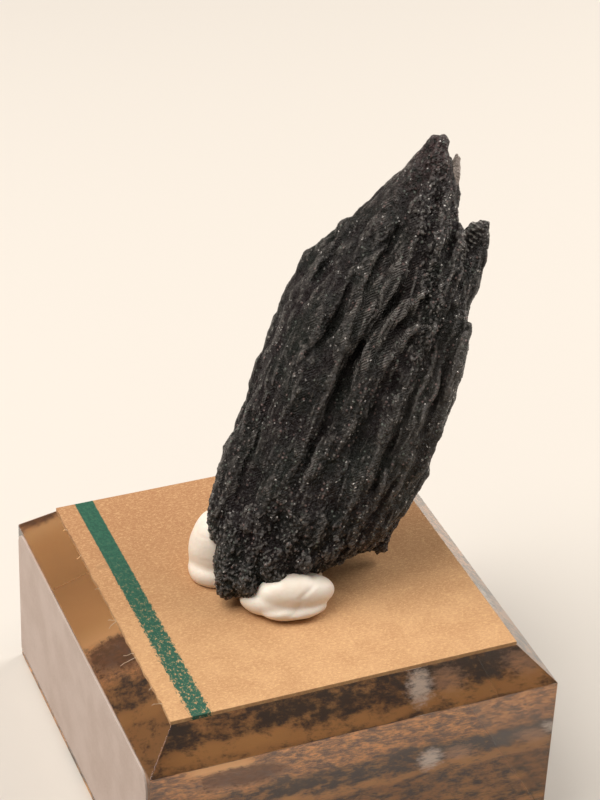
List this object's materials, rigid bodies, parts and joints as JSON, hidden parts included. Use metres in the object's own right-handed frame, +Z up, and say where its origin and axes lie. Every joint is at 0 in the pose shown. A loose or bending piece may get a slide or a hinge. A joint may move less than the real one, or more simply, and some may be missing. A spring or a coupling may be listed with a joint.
{
  "type": "feather calcite specimen",
  "caption": "Dark feather calcite leaning back on cream mineral putty, set on a chamfered clear block with a kraft paper top.",
  "frame": {"origin": "middle of the underside, on the surface it stands on", "axes": "+Z up; -X is the side with the label; the crystal's broad front faces -Y and a little -X"},
  "size_m": [0.0332, 0.03, 0.0428],
  "materials": {
    "calcite": "near-black, fine sparkling grain",
    "putty": "smooth cream putty with soft folds",
    "kraft": "matte kraft paper with a green printed stripe",
    "kraft_underside": "kraft paper with dark glue patches",
    "label": "matte pale paper, left bare",
    "acrylic": "clear polished acrylic"
  },
  "bodies": {
    "root": {"feather_crystal": "calcite", "mounting_putty": "putty", "top_card": "kraft", "underside_card": "kraft_underside", "side_label": "label", "base_block": "acrylic"}
  },
  "joints": []
}
